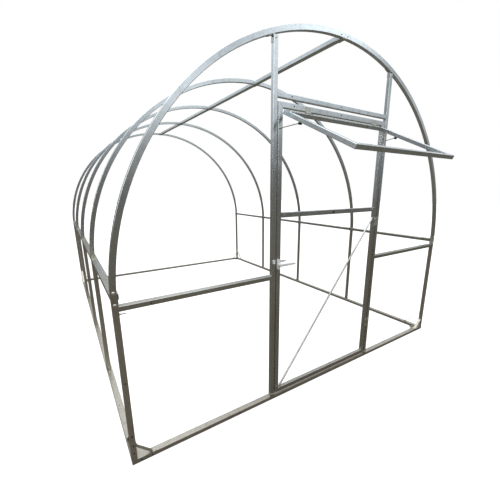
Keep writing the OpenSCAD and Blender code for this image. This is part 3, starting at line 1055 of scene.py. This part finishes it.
    def wing_plates(self) -> bpy.types.Object:
        """Models the clips' folded plates that lie on the side rails beside each leg.

        Returns:
            The piece.
        """
        made = []
        for side in (-1, 1):
            for i, y in enumerate(self.bow_y):
                for way in (-1, 1):
                    if not 0 <= i + way <= 4:
                        continue
                    near = y + way * (self.depth / 2 + 0.0026)
                    far = near + way * self.wing
                    x0, x1 = sorted((side * self.rail_outer_x, side * self.rail_inner_x))
                    low = (x0 + self.wing_inset, min(near, far), self.rail_high.z)
                    high = (x1 - self.wing_inset, max(near, far), self.rail_high.z + self.plate)
                    obj = Bench.box(f"wing_{side}_{i}_{way}", low, high)
                    # The inner edge is folded down over the rail's side
                    Bench.pick(obj, "FACE", lambda face, s=side: face.normal.x * s < -0.9)
                    bpy.ops.mesh.extrude_region_move(
                        TRANSFORM_OT_translate={"value": (-side * (0.0020 + self.plate), 0, 0)})
                    bpy.ops.object.mode_set(mode="OBJECT")
                    limit = self.rail_inner_x + 0.0001
                    Bench.pick(obj, "FACE", lambda face,
                        m=limit: face.normal.z < -0.9 and abs(face.calc_center_median().x) < m)
                    bpy.ops.mesh.extrude_region_move(TRANSFORM_OT_translate={"value": (0, 0,
                        -self.wing_fold)})
                    bpy.ops.object.mode_set(mode="OBJECT")
                    Bench.soften(obj, 0.0005, 2)
                    made.append(obj)
        return Bench.join("rail_wing_plates", made)

    def loose_screw(self) -> bpy.types.Object:
        """Models the long screw that sticks out of the front left leg, under the mid rail.

        Returns:
            The piece.
        """
        z, y = 0.900, self.front + self.depth / 2
        shank = Bench.rod("long_screw", (self.leg_high.x, y, z), (self.leg_high.x + 0.030, y, z),
            0.0030, 12)
        Bench.pick(shank, "FACE", lambda face: face.normal.x > 0.9)
        bpy.ops.mesh.inset(thickness=0.0008, depth=0.0030)
        bpy.ops.object.mode_set(mode="OBJECT")
        washer = Bench.rod("long_washer", (self.leg_high.x, y, z),
            (self.leg_high.x + 0.0015, y, z), 0.0060, 16)
        Bench.soften(washer, 0.0005, 2)
        nut = Bench.rod("long_nut", (self.leg_high.x + 0.0015, y, z),
            (self.leg_high.x + 0.0062, y, z), 0.0046, 6)
        Bench.soften(nut, 0.0006, 2)
        piece = Bench.join("long_screw", (shank, washer, nut))
        Bench.smooth(piece)
        return piece

    def build(self) -> list[bpy.types.Object]:
        """Builds and dresses all fittings of the frame.

        Returns:
            The pieces.
        """
        bolts = Bench.join("frame_screws",
            self.leg_bolts() + self.clip_screws() + self.crown_screws())
        holes = Bench.join("frame_screw_holes", self.drilled_holes())
        return [finish_piece(bolts, Body.FRAME, Slot.ZINC),
                finish_piece(holes, Body.FRAME, Slot.DULL),
                finish_piece(dress(self.joint_sleeves(), self.paint.weld), Body.FRAME, Slot.DULL),
                finish_piece(dress(self.wing_plates(), self.paint.zinc), Body.FRAME, Slot.ZINC),
                finish_piece(dress(self.loose_screw(), self.paint.bolt), Body.FRAME, Slot.ZINC)]


# ---------------------------------------------------------------- the door


@dataclass
class DoorFittings:
    """Seams, screws and drilled holes of the door leaf and its hinges.

    Attributes:
        paint: The materials.
        parts: The fasteners' masters.
        seam_w: Width of a mitre's seam.
        brace_bead: Radius of the weld at the brace's ends.
    """

    paint: Paintbox
    parts: Fasteners
    seam_w: float = 0.0016
    brace_bead: float = 0.0030

    def __post_init__(self) -> None:
        """Reads the places of the leaf's tubes."""
        self.low, self.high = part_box("leaf_stile_latch")[0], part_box("leaf_stile_hinge")[1]
        self.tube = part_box("leaf_stile_latch")[1].x - self.low.x
        self.mid_low, self.mid_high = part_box("leaf_mid_rail")

    def seam(self, name: str, corner: tuple[float, float], inner: tuple[float, float], y: float,
            out: float) -> bpy.types.Object:
        """Models one seam across a mitre, on one face of the leaf.

        Args:
            name: Its name.
            corner: X and Z of the outer corner.
            inner: X and Z of the inner corner.
            y: The face that it lies on.
            out: 1 or -1, the way that the face looks along Y.

        Returns:
            The seam.
        """
        a, b = Vector((corner[0], y, corner[1])), Vector((inner[0], y, inner[1]))
        run = b - a
        obj = Bench.box(name, (0.0005, -self.seam_w / 2, 0.0),
            (run.length - 0.0005, self.seam_w / 2, 0.0003))
        Bench.soften(obj, 0.0001, 1)
        along, face = run.normalized(), Vector((0, out, 0))
        turn = Matrix((along, face.cross(along), face)).transposed().to_4x4()
        obj.data.transform(Matrix.Translation(a) @ turn)
        return obj

    def mitres(self) -> bpy.types.Object:
        """Models the seams at the four corners of the leaf, front and back.

        Returns:
            The piece.
        """
        made = []
        for sx, x in ((1, self.low.x), (-1, self.high.x)):
            for sz, z in ((1, self.low.z), (-1, self.high.z)):
                for y, out in ((self.low.y, -1.0), (self.high.y, 1.0)):
                    made.append(self.seam(f"mitre_{sx}_{sz}_{out}", (x, z),
                        (x + sx * self.tube, z + sz * self.tube), y, out))
        for x in (self.mid_low.x, self.mid_high.x):
            for y, out in ((self.low.y, -1.0), (self.high.y, 1.0)):
                made.append(self.seam(f"butt_{x:.2f}_{out}", (x, self.mid_low.z),
                    (x, self.mid_high.z), y, out))
        return Bench.join("leaf_seams", made)

    def brace_welds(self) -> bpy.types.Object:
        """Models rings of weld round the two ends of the brace.

        Returns:
            The piece.
        """
        low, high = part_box("leaf_brace")
        y = (low.y + high.y) / 2
        made = []
        for name, centre, turn in (("foot", (low.x + 0.015, y, low.z), (0, 0, 0)),
                ("head", (high.x, y, high.z - 0.012), (0, math.pi / 2, 0))):
            Bench.clear()
            bpy.ops.mesh.primitive_torus_add(location=centre, rotation=turn, major_segments=24,
                minor_segments=8, major_radius=0.0095, minor_radius=self.brace_bead)
            ring = Bench.newest("weld_" + name)
            shaker = random.Random(7)
            wobble = ring.modifiers.new("beads", "CAST")
            wobble.factor = 0.12
            wobble.size = 0.0095 + shaker.uniform(0.0, 0.001)
            Bench.take(ring)
            bpy.ops.object.modifier_apply(modifier=wobble.name)
            Bench.smooth(ring, 60.0)
            made.append(ring)
        return Bench.join("brace_welds", made)

    def hinge_screws(self, node: str) -> list[bpy.types.Object]:
        """Puts two screws on each plate of a row of hinges.

        Args:
            node: The CAD node of the plates.

        Returns:
            The screws.
        """
        low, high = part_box(node)
        post = node.endswith("post")
        x = high.x - 0.010 if post else low.x + 0.010
        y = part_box("door_post_right")[0].y - 0.002
        spots = []
        for z in self.hinge_heights():
            spots += [((x, y, z + dz), Facing.FRONT) for dz in (-0.022, 0.022)]
        return self.parts.put(self.parts.screw, spots)

    def hinge_heights(self) -> tuple[float, float, float]:
        """Gives the heights of the three hinges."""
        return (self.low.z + 0.300, (self.mid_low.z + self.mid_high.z) / 2 - 0.100,
            self.high.z - 0.090)

    def drilled_holes(self) -> list[bpy.types.Object]:
        """Puts the open screw holes on the leaf's rails."""
        top = self.high.z - self.tube / 2
        middle = (self.mid_low.z + self.mid_high.z) / 2
        spots = [((x, self.low.y, top), Facing.FRONT) for x in (-0.397, 0.013)]
        return self.parts.put(self.parts.hole, spots) + self.parts.put(self.parts.port,
            [((-0.005, self.low.y, middle), Facing.FRONT)])

    def rivets(self) -> list[bpy.types.Object]:
        """Puts rivets at the ends of the mid rail and beside the mitres."""
        middle = (self.mid_low.z + self.mid_high.z) / 2
        spots = [((x, self.low.y, middle), Facing.FRONT) for x in (self.mid_low.x + 0.024,
            self.mid_high.x - 0.024)]
        for x in (self.low.x + self.tube / 2, self.high.x - self.tube / 2):
            spots += [((x, self.low.y, z), Facing.FRONT) for z in (self.low.z + 0.055,
                self.high.z - 0.055)]
        return self.parts.put(self.parts.rivet, spots)

    def build(self) -> list[bpy.types.Object]:
        """Builds and dresses the leaf's fittings.

        Returns:
            The pieces.
        """
        leaf_parts = Bench.join("leaf_screws",
            self.hinge_screws("hinge_plates_leaf") + self.rivets())
        post_parts = Bench.join("post_screws", self.hinge_screws("hinge_plates_post"))
        return [finish_piece(leaf_parts, Body.DOOR, Slot.ZINC),
                finish_piece(post_parts, Body.FRAME, Slot.ZINC),
                finish_piece(Bench.join("leaf_screw_holes", self.drilled_holes()), Body.DOOR,
                Slot.DULL),
                finish_piece(dress(self.mitres(), self.paint.weld), Body.DOOR, Slot.DULL),
                finish_piece(dress(self.brace_welds(), self.paint.weld), Body.DOOR, Slot.DULL)]


@dataclass
class HandleSet:
    """The door's white lever pair, its plates and the keeper on the post.

    Attributes:
        paint: The materials.
        spindle: X, Y and Z of the spindle's middle.
        stand: How far a lever stands off its plate.
        blade: Height of a lever's blade.
        blade_t: Thickness of a lever's blade.
        neck_r: Radius of a lever's neck.
        plate_t: Thickness of a plate.
        spindle_r: Radius of the spindle.
    """

    paint: Paintbox
    spindle: tuple[float, float, float] = (-0.497, -0.007, 1.018)
    stand: float = 0.034
    blade: float = 0.019
    blade_t: float = 0.011
    neck_r: float = 0.0088
    plate_t: float = 0.007
    spindle_r: float = 0.0039

    def __post_init__(self) -> None:
        """Reads the plates' place."""
        self.plate_low, self.plate_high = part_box("handle_plates")

    def plate(self, out: float) -> bpy.types.Object:
        """Models one oval plate with a raised collar.

        Args:
            out: -1 for the front, 1 for the back.

        Returns:
            The plate.
        """
        x, _, z = self.spindle
        face = self.plate_low.y if out < 0 else self.plate_high.y
        foot = face - out * self.plate_t
        half_w, half_h = (self.plate_high.x - self.plate_low.x) / 2, (
            self.plate_high.z - self.plate_low.z) / 2
        y0, y1 = sorted((foot, face))
        obj = Bench.box(f"plate_{out}", (x - half_w, y0, z - half_h), (x + half_w, y1, z + half_h))
        Bench.pick(obj, "EDGE",
            lambda edge: abs((edge.verts[0].co - edge.verts[1].co).normalized().y) > 0.9)
        bpy.ops.mesh.bevel(offset=half_w * 0.96, segments=10, profile=0.5, affect="EDGES")
        bpy.ops.object.mode_set(mode="OBJECT")
        Bench.pick(obj, "FACE", lambda face_, o=out: face_.normal.y * o > 0.9)
        bpy.ops.mesh.inset(thickness=0.0022, depth=0.0)
        bpy.ops.mesh.inset(thickness=0.0006, depth=-0.0008)
        bpy.ops.object.mode_set(mode="OBJECT")
        Bench.soften(obj, 0.0009, 2, 55.0)
        return obj

    def lever(self, out: float) -> bpy.types.Object:
        """Models one lever: a turned neck and a blade that swells and thins to its tip.

        Args:
            out: -1 for the front, 1 for the back.

        Returns:
            The lever.
        """
        x, _, z = self.spindle
        face = (self.plate_low.y if out < 0 else self.plate_high.y) + out * 0.0003
        tip = face + out * self.stand
        neck = Bench.rod(f"neck_{out}", (x, face, z), (x, tip - out * 0.004, z), self.neck_r, 28)
        Bench.pick(neck, "FACE", lambda f, o=out: f.normal.y * o > 0.9)
        bpy.ops.mesh.inset(thickness=0.0020, depth=0.0014)
        bpy.ops.object.mode_set(mode="OBJECT")
        Bench.soften(neck, 0.0008, 2, 50.0)
        y0, y1 = sorted((tip, tip - out * self.blade_t))
        blade = Bench.box(f"blade_{out}", (x - 0.0085, y0, z - self.blade / 2),
            (x + 0.030, y1, z + self.blade / 2))
        for step, (grow, thin) in enumerate(((0.030, 0.86), (0.030, 0.90), (0.025, 0.80))):
            Bench.pick(blade, "FACE",
                lambda f: f.normal.x > 0.7 and f.calc_center_median().x > blade_end(blade) - 1e-4)
            bpy.ops.mesh.extrude_region_move(TRANSFORM_OT_translate={"value": (grow, 0,
                -0.0008 * step)})
            bpy.ops.transform.resize(value=(1.0, 0.97, thin),
                center_override=(blade_end(blade) + grow, (y0 + y1) / 2, z))
            bpy.ops.object.mode_set(mode="OBJECT")
        Bench.soften(blade, 0.0042, 4, 50.0)
        return Bench.join(f"lever_{out}", (neck, blade))

    def keeper(self) -> bpy.types.Object:
        """Models the keeper on the post, with its lip towards the leaf.

        Returns:
            The keeper.
        """
        low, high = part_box("latch_keeper")
        obj = Bench.box("latch_keeper_cap", low, high)
        Bench.pick(obj, "FACE", lambda f: f.normal.y < -0.9)
        bpy.ops.mesh.inset(thickness=0.0028, depth=0.0)
        bpy.ops.mesh.extrude_region_move(TRANSFORM_OT_translate={"value": (0, 0.0030, 0)})
        bpy.ops.object.mode_set(mode="OBJECT")
        Bench.soften(obj, 0.0010, 3)
        return obj

    def build(self) -> list[bpy.types.Object]:
        """Builds and dresses the handle set.

        Returns:
            The pieces.
        """
        plates = Bench.join("handle_plates_moulded", (self.plate(-1.0), self.plate(1.0)))
        x, _, z = self.spindle
        spindle = Bench.rod("spindle", (x, self.plate_low.y, z), (x, self.plate_high.y, z),
            self.spindle_r, 24)
        Bench.soften(spindle, 0.0006, 2)
        levers = Bench.join("lever_pair", (self.lever(-1.0), self.lever(1.0), spindle))
        return [finish_piece(dress(plates, self.paint.plastic), Body.DOOR, Slot.PLASTIC,
            "handle_plates"),
                finish_piece(dress(levers, self.paint.plastic), Body.HANDLE, Slot.PLASTIC,
                "handle_lever"),
                finish_piece(dress(self.keeper(), self.paint.plastic), Body.FRAME, Slot.PLASTIC,
                "latch_keeper")]


def blade_end(obj: bpy.types.Object) -> float:
    """Gives the highest X of an object's mesh, in or out of edit mode.

    Args:
        obj: The object.

    Returns:
        The highest X.
    """
    if obj.mode == "EDIT":
        return max(vert.co.x for vert in bmesh.from_edit_mesh(obj.data).verts)
    return max(vert.co.x for vert in obj.data.vertices)


@dataclass
class VentSash:
    """Seams, rivets, screw holes and stay knobs of the propped vent sash.

    Attributes:
        paint: The materials.
        parts: The fasteners' masters.
        angle: How far the sash is propped open, in degrees.
        tube: Side of its square tube.
        knuckle: Radius of its hinge's knuckle.
        stay_at: Distance down the sash to the stays' eyes.
    """

    paint: Paintbox
    parts: Fasteners
    angle: float = 65.0
    tube: float = 0.025
    knuckle: float = 0.004
    stay_at: float = 0.155

    def __post_init__(self) -> None:
        """Reads the sash's place from the leaf's tubes."""
        leaf_low, leaf_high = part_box("leaf_stile_latch")[0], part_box("leaf_stile_hinge")[1]
        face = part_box("leaf_stile_latch")[1].x - leaf_low.x
        self.x0, self.x1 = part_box("sash_side_bars")[0].x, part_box("sash_side_bars")[1].x
        self.top_z = leaf_high.z - face - 0.006
        self.pivot_y = leaf_low.y - self.knuckle
        self.length = self.top_z - 0.006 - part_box("leaf_mid_rail")[1].z

    def swung(self, y: float, z: float) -> tuple[float, float]:
        """Gives Y and Z of a point of the closed sash after it is propped.

        Args:
            y: Depth from the hinge line.
            z: Height from the hinge line.

        Returns:
            Y and Z in the frame.
        """
        turn = math.radians(self.angle)
        return (self.pivot_y + y * math.cos(turn) + z * math.sin(turn),
            self.top_z - y * math.sin(turn) + z * math.cos(turn))

    def on_sash(self, master: bpy.types.Object, x: float, depth: float, down: float,
            outer: bool) -> bpy.types.Object:
        """Puts a small part on the sash's outer or inner face.

        Args:
            master: The part.
            x: Its place across.
            depth: Its depth from the hinge line.
            down: Its distance below the hinge line on the closed sash.
            outer: True on the face that looks out and up.

        Returns:
            The part.
        """
        turn = math.radians(self.angle)
        y, z = self.swung(depth, -down)
        facing = Vector((0, -math.cos(turn), math.sin(turn))) if outer else Vector((0,
            math.cos(turn), -math.sin(turn)))
        self.parts.serial += 1
        return Bench.copy_to(master, f"part_{self.parts.serial}", Vector((x, y, z)), facing,
            self.parts.serial * 0.6)

    def rivets(self) -> list[bpy.types.Object]:
        """Puts rivets at the sash's corners on both faces and under its hinges."""
        near, far = self.knuckle, self.knuckle + self.tube
        made = []
        for x in (self.x0 + self.tube / 2, self.x1 - self.tube / 2):
            for down in (0.045, self.length - 0.045, self.length / 2):
                made.append(self.on_sash(self.parts.rivet, x, near, down, True))
                made.append(self.on_sash(self.parts.rivet, x, far, down, False))
        return made

    def holes(self) -> list[bpy.types.Object]:
        """Puts the open screw holes along the sash's bars."""
        near, far = self.knuckle, self.knuckle + self.tube
        made = []
        for x in (self.x0 + 0.12, (self.x0 + self.x1) / 2, self.x1 - 0.12):
            for down in (self.tube / 2, self.length - self.tube / 2):
                made.append(self.on_sash(self.parts.hole, x, near, down, True))
                made.append(self.on_sash(self.parts.hole, x, far, down, False))
        return made

    def seams(self) -> bpy.types.Object:
        """Models the seams at the mitred corners, on both faces.

        Returns:
            The piece.
        """
        turn = math.radians(self.angle)
        made = []
        for depth, sign in ((self.knuckle, -1.0), (self.knuckle + self.tube, 1.0)):
            normal = Vector((0, math.cos(turn), -math.sin(turn))) * sign
            for x, sx in ((self.x0, 1), (self.x1, -1)):
                for down, sz in ((0.0, 1), (self.length, -1)):
                    a = Vector((x, *self.swung(depth, -down)))
                    b = Vector((x + sx * self.tube, *self.swung(depth, -(down + sz * self.tube))))
                    run = b - a
                    obj = Bench.box("seam", (0.0018, -0.0007, 0.0),
                        (run.length - 0.0005, 0.0007, 0.0003))
                    Bench.soften(obj, 0.0001, 1)
                    along = run.normalized()
                    obj.data.transform(Matrix.Translation(a) @ Matrix((along, normal.cross(along),
                        normal)).transposed().to_4x4())
                    made.append(obj)
        return Bench.join("sash_seams", made)

    def knobs(self) -> bpy.types.Object:
        """Models the rubber knob at the sash end of each stay.

        Returns:
            The piece.
        """
        made = []
        y, z = self.swung(self.knuckle + self.tube + 0.005, -self.stay_at)
        for x in (self.x0 + self.tube / 2, self.x1 - self.tube / 2):
            knob = Bench.rod("knob", (x - 0.010, y, z - 0.003), (x + 0.010, y, z - 0.003), 0.0066,
                20)
            Bench.pick(knob, "FACE", lambda f: abs(f.normal.x) > 0.9)
            bpy.ops.mesh.inset(thickness=0.0024, depth=0.0016)
            bpy.ops.object.mode_set(mode="OBJECT")
            Bench.soften(knob, 0.0013, 3, 45.0)
            made.append(knob)
        return Bench.join("stay_knobs", made)

    def build(self) -> list[bpy.types.Object]:
        """Builds and dresses the sash's fittings.

        Returns:
            The pieces.
        """
        return [finish_piece(Bench.join("sash_rivets", self.rivets()), Body.DOOR, Slot.ZINC),
                finish_piece(Bench.join("sash_screw_holes", self.holes()), Body.DOOR, Slot.DULL),
                finish_piece(dress(self.seams(), self.paint.weld), Body.DOOR, Slot.DULL),
                finish_piece(dress(self.knobs(), self.paint.rubber), Body.DOOR, Slot.ZINC)]


# ---------------------------------------------------------------- studio


@dataclass
class Studio:
    """The floor, the light and the camera.

    Attributes:
        eye: The camera's place.
        right: The way the camera's right looks.
        up: The way its top looks.
        lens: Its focal length in millimetres.
        shift: Its shift across and up.
        floor_size: Side of the floor.
    """

    eye: tuple[float, float, float] = (-1.63918, -1.49344, 1.49732)
    right: tuple[float, float, float] = (0.83516, -0.549998, -0.003137)
    up: tuple[float, float, float] = (0.138103, 0.204179, 0.969143)
    lens: float = 21.097
    shift: tuple[float, float] = (-0.0126, 0.02656)
    floor_size: float = 60.0

    def camera(self) -> None:
        """Places the camera."""
        data = bpy.data.cameras.new("camera")
        data.lens, data.sensor_width, data.clip_end = self.lens, 36.0, 200.0
        data.shift_x, data.shift_y = self.shift
        obj = bpy.data.objects.new("camera", data)
        right, up = Vector(self.right).normalized(), Vector(self.up).normalized()
        obj.matrix_world = Matrix.Translation(Vector(self.eye)) @ Matrix((right, up,
            right.cross(up))).transposed().to_4x4()
        bpy.context.scene.collection.objects.link(obj)
        bpy.context.scene.camera = obj

    def floor(self) -> None:
        """Lays a plain pale floor that casts little light back on the frame."""
        Bench.clear()
        bpy.ops.mesh.primitive_plane_add(size=self.floor_size, location=(0, 2.0, -0.001))
        plane = Bench.newest("floor")
        pale = bpy.data.materials.new("pale_floor")
        pale.use_nodes = True
        tree = pale.node_tree
        tree.nodes.clear()
        paper = wire(tree, "ShaderNodeBsdfDiffuse", {"Color": (0.50, 0.50, 0.49, 1.0)})
        glow = wire(tree, "ShaderNodeEmission", {"Color": (1.0, 1.0, 1.0, 1.0), "Strength": 0.74})
        seen = wire(tree, "ShaderNodeAddShader", {"0": paper.outputs[0], "1": glow.outputs[0]})
        bounced = wire(tree, "ShaderNodeBsdfDiffuse", {"Color": (0.125, 0.110, 0.087, 1.0)})
        ray = wire(tree, "ShaderNodeLightPath").outputs["Is Camera Ray"]
        mixed = wire(tree, "ShaderNodeMixShader",
            {"0": ray, "1": bounced.outputs[0], "2": seen.outputs[0]})
        wire(tree, "ShaderNodeOutputMaterial", {"Surface": mixed.outputs[0]})
        dress(plane, pale)

    def sky(self) -> None:
        """Lights the room like an overcast sky: bright overhead, dimmer at the sides."""
        world = bpy.data.worlds.new("room")
        bpy.context.scene.world = world
        world.use_nodes = True
        tree = world.node_tree
        tree.nodes.clear()
        direction = wire(tree, "ShaderNodeTexCoord").outputs["Generated"]
        height = wire(tree, "ShaderNodeSeparateXYZ", {"Vector": direction}).outputs["Z"]
        share = spread(tree, height, 0.02, 0.50)
        colour = blend_colour(tree, share, (0.15, 0.148, 0.142, 1.0), (1.12, 1.18, 1.22, 1.0))
        # Broad patches, as of trees and clouds, that break up the reflections along a tube
        patch = spread(tree, noise(tree, direction, 2.6, 2.0), 0.36, 0.64, 0.5, 1.5)
        shade = wire(tree, "ShaderNodeCombineColor",
            {"Red": patch, "Green": patch, "Blue": patch}).outputs["Color"]
        broken = blend_colour(tree, 1.0, colour, shade, "MULTIPLY")
        lit = wire(tree, "ShaderNodeBackground", {"Color": broken, "Strength": 1.0})
        seen = wire(tree, "ShaderNodeBackground", {"Color": (1.0, 1.0, 1.0, 1.0), "Strength": 1.0})
        ray = wire(tree, "ShaderNodeLightPath").outputs["Is Camera Ray"]
        mixed = wire(tree, "ShaderNodeMixShader",
            {"0": ray, "1": lit.outputs[0], "2": seen.outputs[0]})
        wire(tree, "ShaderNodeOutputWorld", {"Surface": mixed.outputs[0]})

    def lamps(self) -> None:
        """Hangs one large soft lamp overhead and one to the side."""
        for name, place, target, size, power in (("overhead", (-1.5, 1.0, 6.5), (0, 2, 1), 6.0,
                110.0), ("side", (-6.0, -2.5, 3.5), (0, 1.5, 1.2), 3.0, 60.0)):
            data = bpy.data.lights.new(name, "AREA")
            data.shape, data.size, data.energy = "DISK", size, power
            obj = bpy.data.objects.new(name, data)
            obj.location = place
            obj.rotation_euler = (Vector(place) - Vector(target)).to_track_quat("Z",
                "Y").to_euler()
            bpy.context.scene.collection.objects.link(obj)

    def build(self) -> None:
        """Sets up the studio."""
        self.camera()
        self.floor()
        self.sky()
        self.lamps()
        bpy.context.scene.view_settings.view_transform = "Standard"


def main() -> None:
    """Builds every sub-assembly in order and reports each piece."""
    logging.basicConfig(level=logging.INFO, format="%(name)s %(message)s")
    Studio().build()
    paint = Paintbox()
    parts = Fasteners(paint)
    SteelTubes(paint).build()
    KeptPieces(paint).build()
    FrameFittings(paint, parts).build()
    DoorFittings(paint, parts).build()
    HandleSet(paint).build()
    VentSash(paint, parts).build()
    parts.put_away()


if __name__ == "__main__":
    main()
